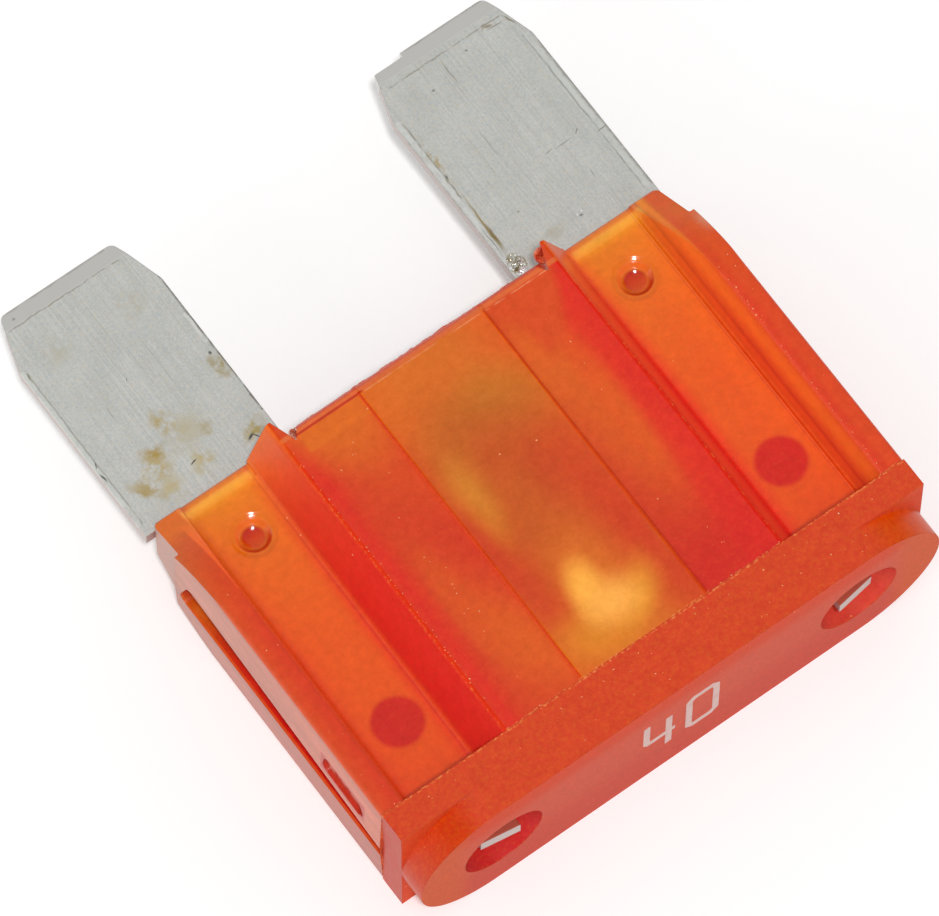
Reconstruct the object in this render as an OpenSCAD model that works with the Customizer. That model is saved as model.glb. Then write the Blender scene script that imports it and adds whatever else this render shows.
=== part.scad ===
// High current blade fuse, 40 A: a translucent moulded housing over a stamped zinc element.
// The modules are drawn with y = 0 at the outer end of the head, the blade tips at the far end
// and z = 0 in the middle of the metal. The module lay_flat then lays the fuse on its face.

/* [Overall] */
// Width over the two blades and over the head
fuse_w = 29.2; // [28:0.1:31]
// Length from the end of the head to the blade tips
fuse_l = 34.3; // [33:0.1:37]
// Thickness of the head
head_t = 8.5; // [8:0.1:9.5]
// Length of the housing
housing_l = 21.4; // [20:0.1:23]

/* [Head] */
// How far the round-ended boss stands out of the flange
boss_l = 1.5; // [1:0.1:2]
// Thickness of the flange along the fuse
flange_l = 1.5; // [1:0.1:2]
// Distance of each test hole from the side of the head
test_inset = 4.6; // [4:0.1:5.5]
// Diameter of a test hole
test_d = 4.3; // [3.5:0.1:5]
// Depth of a test hole
test_depth = 1.9; // [1.2:0.1:2.2]
// Plastic between the floor of a test hole and the terminal
test_floor = 0.8; // [0.5:0.1:1.2]

/* [Bulge] */
// How far the shoulders of the bulge lie below the face of the head
bulge_drop = 0.15; // [0.1:0.05:0.5]
// How far the middle pad stands above the shoulders
pad_rise = 0.1; // [0.05:0.05:0.3]
// Width of the middle pad
pad_w = 7; // [5:0.1:9]
// Plastic beside the chamber at the top of the bulge
bulge_wall = 1.1; // [0.8:0.1:1.5]
// How far the side of the bulge leans out on its way down to the panel
bulge_lean = 1.15; // [0.6:0.05:1.5]
// Rounding of the upper edge of the bulge
bulge_edge_r = 0.25; // [0.1:0.05:0.5]
// Thickness of the roof over the chamber
roof_t = 1.1; // [0.7:0.1:1.4]
// How far the roof stops short of the blade end
roof_setback = 0.7; // [0.2:0.1:1.2]
// Rounding of the outer edge of the roof at the blade end
roof_end_r = 0.6; // [0.2:0.1:1]
// Width of the notch between the roof and the wall beside it
notch_w = 1; // [0.6:0.1:1.5]
// How far the notch reaches back from the end of the roof
notch_l = 0.7; // [0.3:0.1:1.2]
// Thickness that the notch leaves at the top of the wall
tooth_w = 0.2; // [0.1:0.05:0.5]

/* [Panels and ribs] */
// Thickness over the two sunken panels
panel_t = 2.8; // [2.4:0.1:3.4]
// How far the side ribs lie below the face of the head
rib_drop = 0.15; // [0.1:0.05:0.5]
// Width of the flat top of a rib
rib_w = 1.2; // [0.8:0.1:1.6]
// How far the inner face of a rib leans in on its way down to the panel
rib_lean = 0.65; // [0.3:0.05:1]
// Rounding along the feet of the bulge and the ribs
foot_r = 0.3; // [0.1:0.05:0.5]
// Rounding of the upper edges of the ribs
rib_edge_r = 0.2; // [0.1:0.05:0.4]
// How far the side face swells at its middle
side_swell = 0.15; // [0.05:0.05:0.3]
// Length over which a rib falls to the panel at the blade end
ramp_l = 4.5; // [3.5:0.1:6]
// Radius that leads a rib into its ramp
ramp_r = 8.7; // [4:0.1:10]
// Rounding of the panels and ribs at the blade end
end_r = 0.4; // [0.2:0.05:0.6]
// Length of the narrow nose at the blade end
nose_l = 2.4; // [2:0.05:3.5]
// Step from the side face in to the nose
nose_step = 0.2; // [0.1:0.05:0.4]
// How far each side of the nose tapers in
nose_taper = 0.15; // [0.1:0.05:0.5]
// Size of the rounded corner at the end of the nose
nose_corner = 0.25; // [0.1:0.05:0.4]

/* [Side groove and gate] */
// Width of the groove at the flange
groove_w = 1; // [0.8:0.1:1.6]
// How far the middle of the groove lies below the middle of the side at the flange
groove_drop = 0.45; // [0:0.05:0.6]
// Width of the groove at its blade end
groove_end_w = 2.5; // [1:0.1:3]
// How much further the lower edge of the groove runs than the upper edge
groove_slant = 0.8; // [0:0.1:1.2]
// Depth of the groove
groove_depth = 0.5; // [0.2:0.05:0.8]
// How far the groove stops short of the nose
groove_setback = 0.25; // [0.2:0.05:1.5]
// Where the pocket of the gate starts
gate_y = 4.3; // [4:0.1:6]
// Length of the pocket
gate_l = 3.2; // [2:0.1:4]
// Height of the pocket
gate_w = 1.55; // [1:0.05:2]
// Distance of the pocket from the middle of the side face
gate_z = 1.65; // [1:0.05:2]
// Depth of the pocket
gate_depth = 0.25; // [0.2:0.05:0.6]

/* [Stakes] */
// Distance of the stakes and the locating holes from the side of the fuse
stake_inset = 3.8; // [3.4:0.1:4.5]
// Distance of the stakes from the blade end of the housing
stake_setback = 3.15; // [2.5:0.05:4]
// Diameter of a stake
stake_d = 1.6; // [1.2:0.1:2]
// Diameter of the mark that the punch left over a stake
mark_d = 1.75; // [1.4:0.05:2.2]
// Diameter of the floor of that mark
mark_floor_d = 1.25; // [0.8:0.05:1.35]
// Depth of that mark
mark_depth = 0.3; // [0.15:0.05:0.5]

/* [Inside of the housing] */
// Plastic that covers the inner edges of the terminals
chamber_cover = 0.3; // [0.1:0.05:0.6]
// Room between the link and the closed end of the chamber
chamber_room = 0.1; // [0.05:0.05:0.4]
// Rounding along the upper corners of the chamber
chamber_r = 0.4; // [0.1:0.05:0.6]
// Length of the wider mouth at the blade end
mouth_l = 3.3; // [2:0.1:5]
// How much deeper the mouth is cut on each side
mouth_step = 0.3; // [0.1:0.05:0.4]
// Room around the metal in its slots
slot_gap = 0.05; // [0.02:0.01:0.1]

/* [Blades] */
// Width of a blade
blade_w = 8; // [7.5:0.1:8.5]
// Thickness of the metal
metal_t = 0.8; // [0.7:0.05:0.9]
// Length of the taper towards a blade tip
taper_l = 2.85; // [2:0.05:4]
// How much the taper takes off each side
taper_w = 0.85; // [0.5:0.05:1.2]
// Rounding where the taper starts
taper_r = 0.8; // [0.3:0.1:2]
// Rounding of the corners of the tip
tip_r = 0.4; // [0.2:0.1:1]
// Length of the coined bevel
coin_l = 0.85; // [0.5:0.05:1.5]
// Thickness left at the very tip
tip_t = 0.4; // [0.3:0.05:0.6]
// Width of the chipped inner corner of the right blade, from the blade's side
chip_w = 2.4; // [1:0.1:4]
// How far the chip shortens the tip there
chip_l = 0.25; // [0.1:0.05:0.5]

/* [Terminals] */
// Width of the shoulder outside each terminal, where the blade bears on the housing
shoulder_w = 1.1; // [0.9:0.1:1.5]
// How far the inner edge of a terminal lies outside that of its blade
terminal_step = 0.4; // [0.2:0.1:0.8]
// Rounding of the outer corner of a terminal inside the head
terminal_r = 0.5; // [0.2:0.1:1]
// Width of a test tongue
tongue_w = 2; // [1.6:0.1:2.4]
// How far a tongue stays below the end of the head
tongue_sink = 0.1; // [0.05:0.05:0.6]
// Extra sink at the outer corner of a tongue
tongue_slant = 0.3; // [0.05:0.05:0.5]
// Distance of the locating holes from the end of the head
locator_y = 7.05; // [6:0.05:8]
// Diameter of a locating hole
locator_d = 2.5; // [2:0.1:3]

/* [Link] */
// Width of the link
link_w = 2.9; // [2:0.1:3.2]
// Thickness of the skived link
link_t = 0.4; // [0.2:0.05:0.6]
// Radius of the two bends of the link
bend_r = 3.1; // [2.7:0.1:3.4]
// Sideways distance between the centres of the bends
bend_dx = 4.3; // [3.5:0.1:5]
// Lengthways distance between the centres of the bends
bend_dy = 6; // [5.5:0.1:6.5]
// Distance of the middle of the link from the end of the head
link_y = 11.25; // [10.8:0.05:12]
// How far an arm reaches from its terminal to the link
arm_reach = 2.4; // [1.8:0.1:3]
// Length of the thick arm at each end of the link
arm_l = 6.6; // [5:0.1:8]
// Extra length of an arm where it leaves its terminal
arm_flare = 1.4; // [0.5:0.1:2]
// Rounding of the long inner corner of an arm
arm_r = 1.2; // [0.4:0.1:1.6]

/* [Hidden] */
orange = [0.93, 0.36, 0.08, 0.85];
zinc = [0.74, 0.75, 0.73];
cut = 1;
far = 20;
lap = 0.01;

half_w = fuse_w / 2;
head_z = head_t / 2;
flange_y = boss_l + flange_l;
test_x = half_w - test_inset;

shoulder_z = head_z - bulge_drop;
pad_z = shoulder_z + pad_rise;
pad_x = pad_w / 2;
rib_z = head_z - rib_drop;
rib_foot_x = half_w - rib_w - rib_lean;
panel_z = panel_t / 2;
side_x = half_w + side_swell;
nose_y = housing_l - nose_l;
roof_end_y = housing_l - roof_setback;

blade_x = half_w - blade_w;
metal_z = metal_t / 2;
terminal_in = blade_x + terminal_step;
terminal_out = half_w - shoulder_w;
terminal_y = test_depth + test_floor;
stake_x = half_w - stake_inset;
stake_y = housing_l - stake_setback;

bend = [bend_dx / 2, link_y + bend_dy / 2];
link_mid = [0, link_y];
link_top = bend[1] + bend_r + link_w / 2;
link_end = 2 * link_y - link_top;
arm_x = terminal_in - arm_reach;

slot_z = metal_z + slot_gap;
chamber_x = terminal_in - chamber_cover;
chamber_y = link_end - chamber_room;
chamber_z = shoulder_z - roof_t;
bulge_x = chamber_x + bulge_wall;
bulge_foot_x = bulge_x + bulge_lean;

// points of an arc about c, from angle a0 to a1
function arc(c, r, a0, a1, n) =
    [for (i = [0:n]) let (a = a0 + (a1 - a0) * i / n) c + r * [cos(a), sin(a)]];

function unit(v) = v / norm(v);
function turn(p) = [-p[1], p[0]];
function reversed(p) = [for (i = [len(p) - 1:-1:0]) p[i]];

// a closed outline from the corners of its upper right quarter, clockwise from the top
function mirrored(quarter) =
    let (
        right = concat(quarter, reversed([for (c = quarter) [c[0], -c[1], c[2]]]))
    )
    concat(right, reversed([for (c = right) [-c[0], c[1], c[2]]]));

// an outline with rounded corners: each corner is [x, y, radius]
function filleted(corners, n = 4) = [for (i = [0:len(corners) - 1])
    let (
        m = len(corners),
        c = corners[i],
        p = [c[0], c[1]],
        before = corners[(i + m - 1) % m],
        after = corners[(i + 1) % m],
        u = unit([before[0], before[1]] - p),
        w = unit([after[0], after[1]] - p),
        half = acos(u * w) / 2,
        centre = p + unit(u + w) * c[2] / sin(half),
        start = p + u * c[2] / tan(half),
        finish = p + w * c[2] / tan(half),
        a0 = atan2(start[1] - centre[1], start[0] - centre[0]),
        a1 = atan2(finish[1] - centre[1], finish[0] - centre[0]),
        sweep = (a1 - a0 + 540) % 360 - 180
    )
    each (c[2] == 0 ? [p] : arc(centre, c[2], a0, a0 + sweep, n))];

// a band of constant width along a path
function band(path, w) =
    let (
        m = len(path),
        side = [for (i = [0:m - 1])
            turn(unit(path[min(i + 1, m - 1)] - path[max(i - 1, 0)])) * w / 2]
    )
    concat([for (i = [0:m - 1]) path[i] + side[i]],
           reversed([for (i = [0:m - 1]) path[i] - side[i]]));

// draws an outline in x and z out along y
module along_y(y0, y1) {
    translate([0, y1, 0]) rotate([90, 0, 0]) linear_extrude(y1 - y0) children();
}

// draws an outline in y and z out along x
module along_x(x0, x1) {
    translate([x0, 0, 0]) rotate([90, 0, 90]) linear_extrude(x1 - x0) children();
}

// draws an outline in x and y out along z, with z = 0 in its middle
module sheet(t) {
    translate([0, 0, -t / 2]) linear_extrude(t) children();
}

module both_sides() {
    children();
    mirror([1, 0, 0]) children();
}

module both_faces() {
    children();
    mirror([0, 0, 1]) children();
}

// the fuse lies on its face, with the middle of its length over the origin
module lay_flat() {
    translate([0, -fuse_l / 2, head_z]) children();
}

// flange, and the boss with its round ends
module head() {
    along_y(boss_l, flange_y) square([fuse_w, head_t], center = true);
    along_y(0, boss_l + lap) {
        square([fuse_w - head_t, head_t], center = true);
        for (side = [-1, 1]) translate([side * (half_w - head_z), 0])
            circle(r = head_z, $fn = 128);
    }
}

// the section of the body: pad, shoulders, leaning walls, panels and side ribs
module body_section() {
    polygon(filleted(mirrored([
        [pad_x, pad_z, 0],
        [pad_x + pad_rise, shoulder_z, 0],
        [bulge_x, shoulder_z, bulge_edge_r],
        [bulge_foot_x, panel_z, foot_r],
        [rib_foot_x, panel_z, foot_r],
        [half_w - rib_w, rib_z, rib_edge_r],
        [half_w, rib_z, rib_edge_r],
        [side_x, lap, 0]])));
}

// what is cut off above a path of corners in y and z that ends at the rounded blade end
module end_cut(x0, x1, path) {
    start_y = path[0][0];
    both_faces() along_x(x0, x1) polygon(filleted(concat(path, [
        [housing_l, panel_z, end_r],
        [housing_l, panel_z - 2 * end_r, 0],
        [housing_l + cut, panel_z - 2 * end_r, 0],
        [housing_l + cut, far, 0],
        [start_y, far, 0]]), 10));
}

// a rib falls to the panel at the blade end, and the panel beside it is only rounded
module rib_ramp() {
    end_cut(bulge_foot_x, rib_foot_x, [[housing_l - 2 * end_r, panel_z, 0]]);
    end_cut(rib_foot_x - foot_r, far, [
        [flange_y, rib_z, 0], [housing_l - ramp_l, rib_z, ramp_r]]);
}

// what is cut off a side so that the blade end is a narrow nose
module nose_trim() {
    root_x = half_w - nose_step;
    tip_x = root_x - nose_taper;
    sheet(far) polygon(filleted([
        [half_w + cut, nose_y, 0],
        [root_x, nose_y, nose_step / 2],
        [tip_x, housing_l - nose_corner, nose_corner],
        [tip_x - nose_corner, housing_l, 0],
        [tip_x - nose_corner, housing_l + cut, 0],
        [half_w + cut, housing_l + cut, 0]]));
}

// the groove along a side, which widens to a slanted end with round corners
module side_groove() {
    end_y = nose_y - groove_setback;
    end = groove_end_w / 2;
    along_x(side_x - groove_depth, half_w + cut) polygon(filleted([
        [flange_y, -groove_drop - groove_w / 2, 0],
        [end_y, -end, end / 3],
        [end_y - groove_slant, end, end / 2],
        [flange_y, groove_w / 2 - groove_drop, 0]], 8));
}

// the rough pocket where the gate was broken off, on one side only
module gate_pocket() {
    corner = gate_w / 4;
    translate([0, gate_y, gate_z - gate_w / 2])
        along_x(-half_w - cut, -side_x + gate_depth) polygon(filleted([
            [0, corner, corner / 2],
            [corner, 0, corner / 2],
            [gate_l, corner / 2, corner],
            [gate_l - corner / 2, gate_w, corner],
            [corner, gate_w - corner / 2, corner]]));
}

// the chamber for the link, with a wider mouth at the blade end
module chamber() {
    under_pad = [pad_x - pad_rise, chamber_z + pad_rise, 0];
    along_y(chamber_y, housing_l + cut) polygon(filleted(mirrored([
        under_pad,
        [pad_x, chamber_z, 0],
        [chamber_x, chamber_z, chamber_r],
        [chamber_x, panel_z, 0]])));
    both_sides() along_y(housing_l - mouth_l, housing_l + cut)
        translate([pad_x, -chamber_z - mouth_step])
            square([chamber_x + mouth_step - pad_x, 2 * (chamber_z + mouth_step)]);
}

// the slots that the terminals and their test tongues slide into
module terminal_slots() {
    sheet(2 * slot_z) {
        translate([-terminal_out - slot_gap, terminal_y - slot_gap])
            square([2 * (terminal_out + slot_gap), housing_l]);
        both_sides() translate([test_x - tongue_w / 2 - slot_gap, 0])
            square([tongue_w + 2 * slot_gap, terminal_y]);
    }
}

// the roof stops short of the blade end, and a notch parts it from the wall beside it
module roof_end() {
    tooth_x = bulge_x - tooth_w;
    roof_x = tooth_x - notch_w;
    valley_x = roof_x + notch_w / 2;
    floor_z = panel_z + roof_end_r / 3;
    half_plan = [
        [valley_x, roof_end_y - notch_l], [tooth_x, housing_l], [tooth_x, housing_l + cut]];
    edge = [roof_end_y - roof_end_r, pad_z - roof_end_r];
    both_faces() {
        translate([0, 0, floor_z]) linear_extrude(far) polygon(concat(
            [[-roof_x, roof_end_y], [roof_x, roof_end_y]],
            half_plan,
            reversed([for (p = half_plan) [-p[0], p[1]]])));
        along_x(-valley_x, valley_x) polygon(concat(
            arc(edge, roof_end_r, 90, 0, 8),
            [[housing_l, edge[1]], [housing_l, far], [edge[0], far]]));
    }
}

module test_holes() {
    both_sides() translate([test_x, test_depth, 0]) rotate([90, 0, 0])
        cylinder(h = test_depth + cut, d = test_d, $fn = 72);
}

// the shallow marks over the stakes, on both faces
module stake_marks() {
    both_sides() both_faces() translate([stake_x, stake_y, panel_z - mark_depth])
        cylinder(h = mark_depth + lap, d1 = mark_floor_d, d2 = mark_d + lap, $fn = 48);
}

// the plastic that was pushed through the hole in each terminal
module stakes() {
    both_sides() translate([stake_x, stake_y, 0])
        cylinder(h = 2 * (slot_z + lap), d = stake_d, center = true, $fn = 48);
}

module housing() {
    color(orange) lay_flat() {
        difference() {
            union() {
                head();
                along_y(flange_y - lap, housing_l) body_section();
            }
            both_sides() rib_ramp();
            both_sides() nose_trim();
            both_sides() side_groove();
            gate_pocket();
            roof_end();
            chamber();
            terminal_slots();
            test_holes();
            stake_marks();
        }
        stakes();
    }
}

// a blade with its tapered plan and the coined bevel on both faces of its tip
module blade() {
    coin_y = fuse_l - coin_l;
    intersection() {
        sheet(metal_t) polygon(filleted([
            [blade_x, housing_l, 0],
            [half_w, housing_l, 0],
            [half_w, fuse_l - taper_l, taper_r],
            [half_w - taper_w, fuse_l, tip_r],
            [blade_x + taper_w, fuse_l, tip_r],
            [blade_x, fuse_l - taper_l, taper_r]]));
        along_x(blade_x - cut, half_w + cut) polygon([
            [housing_l, -metal_z], [coin_y, -metal_z], [fuse_l, -tip_t / 2],
            [fuse_l, tip_t / 2], [coin_y, metal_z], [housing_l, metal_z]]);
    }
}

// the inner corner of the right blade's tip was chipped off
module tip_chip() {
    translate([blade_x - cut, fuse_l - chip_l, -metal_z]) cube([chip_w + cut, cut, metal_t]);
}

// plan of a terminal inside the housing, with its test tongue and its two holes
module terminal_plan() {
    tongue_in = test_x - tongue_w / 2;
    tongue_out = test_x + tongue_w / 2;
    difference() {
        polygon(filleted([
            [blade_x, housing_l, 0],
            [blade_x, link_top, 0],
            [terminal_in, link_top, 0],
            [terminal_in, terminal_y, 0],
            [tongue_in, terminal_y, 0],
            [tongue_in, tongue_sink, 0],
            [tongue_out, tongue_sink + tongue_slant, 0],
            [tongue_out, terminal_y, 0],
            [terminal_out, terminal_y, terminal_r],
            [terminal_out, housing_l, 0]]));
        translate([stake_x, locator_y]) circle(d = locator_d, $fn = 60);
        translate([stake_x, stake_y]) circle(d = stake_d, $fn = 48);
    }
}

// plan of the thick arm that carries the link into the chamber
module arm_plan() {
    root_x = terminal_in + terminal_r;
    polygon(filleted([
        [root_x, link_top, 0],
        [arm_x, link_top, terminal_r],
        [arm_x, link_top - arm_l, arm_r],
        [root_x, link_top - arm_l - arm_flare, 0]]));
}

// the centre line of the link: out of one arm, round both bends and into the other arm
function link_path() =
    let (
        chord = 2 * (link_mid - bend),
        heading = atan2(chord[1], chord[0]) + 360,
        leave = heading - acos(2 * bend_r / norm(chord)),
        first = concat([[arm_x + terminal_r, bend[1] + bend_r]],
                       arc(bend, bend_r, 90, leave, 16))
    )
    concat(first, reversed([for (p = first) 2 * link_mid - p]));

module fuse_element() {
    color(zinc) lay_flat() {
        mirror([1, 0, 0]) blade();
        difference() {
            blade();
            tip_chip();
        }
        both_sides() sheet(metal_t) terminal_plan();
        for (half_turn = [0, 180])
            translate(link_mid) rotate(half_turn) translate(-link_mid)
                sheet(metal_t) arm_plan();
        sheet(link_t) polygon(band(link_path(), link_w));
    }
}

housing();
fuse_element();
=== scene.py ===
"""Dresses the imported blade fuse: its colours, surfaces, printing and small damage, and its studio."""

import math

import bmesh
import bpy
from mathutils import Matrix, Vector, noise


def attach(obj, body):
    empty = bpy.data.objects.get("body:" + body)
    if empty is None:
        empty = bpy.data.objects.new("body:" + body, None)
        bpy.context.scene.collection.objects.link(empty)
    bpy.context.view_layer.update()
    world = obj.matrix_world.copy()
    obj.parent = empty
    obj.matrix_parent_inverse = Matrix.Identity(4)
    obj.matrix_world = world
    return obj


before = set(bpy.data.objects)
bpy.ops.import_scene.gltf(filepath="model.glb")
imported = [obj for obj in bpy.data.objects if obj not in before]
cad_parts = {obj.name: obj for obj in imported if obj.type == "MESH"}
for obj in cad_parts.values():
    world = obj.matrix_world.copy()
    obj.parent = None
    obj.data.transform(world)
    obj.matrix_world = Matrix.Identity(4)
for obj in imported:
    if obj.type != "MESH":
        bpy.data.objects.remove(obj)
bpy.context.view_layer.update()


# The camera
# A long lens looks down on the fuse from beyond the left end of its head. The fuse lies on its
# face, with its blades pointing away to the upper left.

camera = bpy.data.objects.new("camera", bpy.data.cameras.new("camera"))
camera.data.lens = 361.95
camera.location = (-0.096256, -0.131868, 0.405246)
camera.rotation_euler = [math.radians(angle) for angle in (22.01785, -0.10159, -36.03486)]
bpy.context.scene.collection.objects.link(camera)
bpy.context.scene.camera = camera
bpy.context.scene.view_settings.view_transform = "Standard"


# The studio
# A sheet of matt white card, a soft lamp beside the camera, a wider one low on the left and even
# light from all round. Together they light a face turned to the camera at a level of about one.


def linear(hex_colour):
    """The linear colour that Blender's sockets take for an sRGB colour such as #e95824."""
    parts = [int(hex_colour[at : at + 2], 16) / 255 for at in (1, 3, 5)]
    return [part / 12.92 if part <= 0.04045 else ((part + 0.055) / 1.055) ** 2.4 for part in parts] + [1.0]


def add_node(tree, kind, inputs=(), **settings):
    """Adds one node with its settings, and gives each input its value or the output that feeds it."""
    made = tree.nodes.new(kind)
    for name, value in settings.items():
        setattr(made, name, value)
    for socket, value in dict(inputs).items():
        if isinstance(value, bpy.types.NodeSocket):
            tree.links.new(value, made.inputs[socket])
        else:
            made.inputs[socket].default_value = value
    return made


def math_of(tree, operation, *values):
    """What one operation makes of one or two numbers."""
    return add_node(tree, "ShaderNodeMath", dict(enumerate(values)), operation=operation).outputs[0]


def vector_of(tree, operation, *vectors):
    """What one operation makes of two vectors or colours."""
    return add_node(tree, "ShaderNodeVectorMath", dict(enumerate(vectors)), operation=operation).outputs[0]


def noise_of(tree, place, size, detail=2.0, roughness=0.5):
    """A cloudy value that changes over about the given size."""
    look = {"Vector": place, "Scale": 1 / size, "Detail": detail, "Roughness": roughness}
    return add_node(tree, "ShaderNodeTexNoise", look).outputs[0]


def largest_of(tree, shares):
    """The largest of several shares."""
    largest = shares[0]
    for share in shares[1:]:
        largest = math_of(tree, "MAXIMUM", largest, share)
    return largest


def new_material(name):
    """An empty material that is named for a finish, and its tree."""
    made = bpy.data.materials.new(name)
    made.use_nodes = True
    made.node_tree.nodes.clear()
    return made, made.node_tree


def give_surface(tree, look):
    """Ends a material's tree with a surface of the given look."""
    shader = add_node(tree, "ShaderNodeBsdfPrincipled", look).outputs[0]
    add_node(tree, "ShaderNodeOutputMaterial", {"Surface": shader})


card_size = 3.0
card_lift_level = 0.2
sky_level = 0.58
lamps = [
    ("soft_lamp", 0.47, 5, Vector((-0.160, -0.312, 0.937))),
    ("side_lamp", 0.16, 30, Vector((-0.93, -0.10, 0.35))),
]

white_card, card_tree = new_material("matt_white_card")
# the paper is a little darker than white, and what is seen of it is lifted back to white
card_rays = add_node(card_tree, "ShaderNodeLightPath").outputs
card_views = [card_rays[ray] for ray in ("Is Camera Ray", "Is Glossy Ray", "Is Transmission Ray")]
card_seen = largest_of(card_tree, card_views)
lift = math_of(card_tree, "MULTIPLY", card_seen, card_lift_level)
card_paper = add_node(card_tree, "ShaderNodeBsdfDiffuse", {"Color": linear("#f2f1f1")}).outputs[0]
card_lift = add_node(card_tree, "ShaderNodeEmission", {"Strength": lift}).outputs[0]
card_both = add_node(card_tree, "ShaderNodeAddShader", {0: card_paper, 1: card_lift}).outputs[0]
add_node(card_tree, "ShaderNodeOutputMaterial", {"Surface": card_both})

card_mesh = bpy.data.meshes.new("white_card")
half_card = card_size / 2
card_corners = [(side * half_card, end * half_card, 0) for side, end in ((-1, -1), (1, -1), (1, 1), (-1, 1))]
card_mesh.from_pydata(card_corners, [], [(0, 1, 2, 3)])
card_mesh.materials.append(white_card)
white_card_object = bpy.data.objects.new("white_card", card_mesh)
bpy.context.scene.collection.objects.link(white_card_object)

sky = bpy.data.worlds.new("even_sky")
sky.use_nodes = True
sky_tree = sky.node_tree
sky_tree.nodes.clear()
sky_rays = add_node(sky_tree, "ShaderNodeLightPath").outputs
sky_light = add_node(sky_tree, "ShaderNodeBackground", {"Strength": sky_level}).outputs[0]
sky_seen = add_node(sky_tree, "ShaderNodeBackground", {"Strength": 1.0}).outputs[0]
sky_mix = {0: sky_rays["Is Camera Ray"], 1: sky_light, 2: sky_seen}
sky_both = add_node(sky_tree, "ShaderNodeMixShader", sky_mix).outputs[0]
add_node(sky_tree, "ShaderNodeOutputWorld", {"Surface": sky_both})
bpy.context.scene.world = sky

for lamp_name, level, spread, toward_lamp in lamps:
    lamp = bpy.data.objects.new(lamp_name, bpy.data.lights.new(lamp_name, "SUN"))
    lamp.data.energy = math.pi * level
    lamp.data.angle = math.radians(spread)
    lamp.rotation_euler = toward_lamp.to_track_quat("Z", "Y").to_euler()
    bpy.context.scene.collection.objects.link(lamp)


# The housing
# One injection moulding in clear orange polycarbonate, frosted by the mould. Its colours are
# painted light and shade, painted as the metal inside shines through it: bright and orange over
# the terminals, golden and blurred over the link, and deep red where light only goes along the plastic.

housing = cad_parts["housing"]
per_metre = 1000
# sizes in millimetres
length_to_head = 17.15
mid_height = 4.25
head_depth = 3.02
stake_x = 10.8
stake_y = 18.25
locating_hole_y = 7.05
# beyond every edge of the fuse, and the depth of a patch that goes right through it
far = 40
endless = 1000


def eased(tree, measure, low, high, first, last):
    """A value that goes smoothly from one level to another as a measure goes from low to high."""
    levels = {"Value": measure, "From Min": low, "From Max": high, "To Min": first, "To Max": last}
    return add_node(tree, "ShaderNodeMapRange", levels, interpolation_type="SMOOTHSTEP").outputs[0]


def share_between(tree, measure, low, high, soft):
    """One where a measure lies between two values, and nothing beyond them, with soft ends."""
    offset = math_of(tree, "SUBTRACT", measure, (low + high) / 2)
    distance = math_of(tree, "ABSOLUTE", offset)
    half = (high - low) / 2
    return eased(tree, distance, half - soft, half + soft, 1.0, 0.0)


def all_of(tree, shares):
    """The product of several shares."""
    product = shares[0]
    for share in shares[1:]:
        product = math_of(tree, "MULTIPLY", product, share)
    return product


def rising(tree, measure, low, high, least=0.0, most=1.0):
    """A value that goes evenly from one level to another as a measure goes from low to high."""
    levels = {"Value": measure, "From Min": low, "From Max": high, "To Min": least, "To Max": most}
    return add_node(tree, "ShaderNodeMapRange", levels).outputs[0]


def graded(tree, measure, stops):
    """A colour that changes along a measure, from stops of its value and a hex colour."""
    low, high = stops[0][0], stops[-1][0]
    ramp = add_node(tree, "ShaderNodeValToRGB", {"Fac": rising(tree, measure, low, high)})
    elements = ramp.color_ramp.elements
    elements[0].color = linear(stops[0][1])
    elements[-1].color = linear(stops[-1][1])
    for place, colour in stops[1:-1]:
        elements.new((place - low) / (high - low)).color = linear(colour)
    return ramp.outputs[0]


def layered(tree, colour, layers):
    """A colour with other colours laid over it, each where its share says."""
    for share, tint in layers:
        over = tint if isinstance(tint, bpy.types.NodeSocket) else linear(tint)
        colour = add_node(tree, "ShaderNodeMix", {0: share, 6: colour, 7: over}, data_type="RGBA").outputs[2]
    return colour


def length_of(tree, vector):
    """The length of a vector."""
    return add_node(tree, "ShaderNodeVectorMath", {0: vector}, operation="LENGTH").outputs["Value"]


def patches(tree, place, spots):
    """Soft oval patches: x, y, half width, half length, turn in degrees, how much is full, colour."""
    layers = []
    for x, y, half_width, half_length, turn, full, tint in spots:
        oval = {
            "Vector": place,
            "Location": (x, y, 0),
            "Rotation": (0, 0, math.radians(turn)),
            "Scale": (half_width, half_length, endless),
        }
        inside = add_node(tree, "ShaderNodeMapping", oval, vector_type="TEXTURE").outputs[0]
        layers.append((eased(tree, length_of(tree, inside), full, 1.0, 1.0, 0.0), tint))
    return layers


def scaled(tree, vector, by):
    """A colour or a direction, multiplied by a number."""
    return add_node(tree, "ShaderNodeVectorMath", {0: vector, "Scale": by}, operation="SCALE").outputs[0]


def bumped(tree, relief, strength, depth, under):
    """The direction of a surface with a relief on it, over the direction under it."""
    bump = {"Height": relief, "Strength": strength, "Distance": depth, "Normal": under}
    return add_node(tree, "ShaderNodeBump", bump).outputs[0]


def to_and_fro(tree, place, size, detail, roughness):
    """A vector that changes over about the given size, half a unit to and fro each way."""
    look = {"Vector": place, "Scale": 1 / size, "Detail": detail, "Roughness": roughness}
    colour = add_node(tree, "ShaderNodeTexNoise", look).outputs["Color"]
    return vector_of(tree, "SUBTRACT", colour, (0.5, 0.5, 0.5))


def in_millimetres(tree):
    """The place on a piece, from the middle of its width, the end of the head and the metal."""
    moved = {
        "Vector": add_node(tree, "ShaderNodeTexCoord").outputs["Object"],
        "Location": (0, length_to_head, -mid_height),
        "Scale": (per_metre, per_metre, per_metre),
    }
    return add_node(tree, "ShaderNodeMapping", moved).outputs[0]


def in_metres(px, py, pz):
    """A point in Blender's frame, from one given in millimetres as above."""
    return px / per_metre, (py - length_to_head) / per_metre, (pz + mid_height) / per_metre


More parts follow.
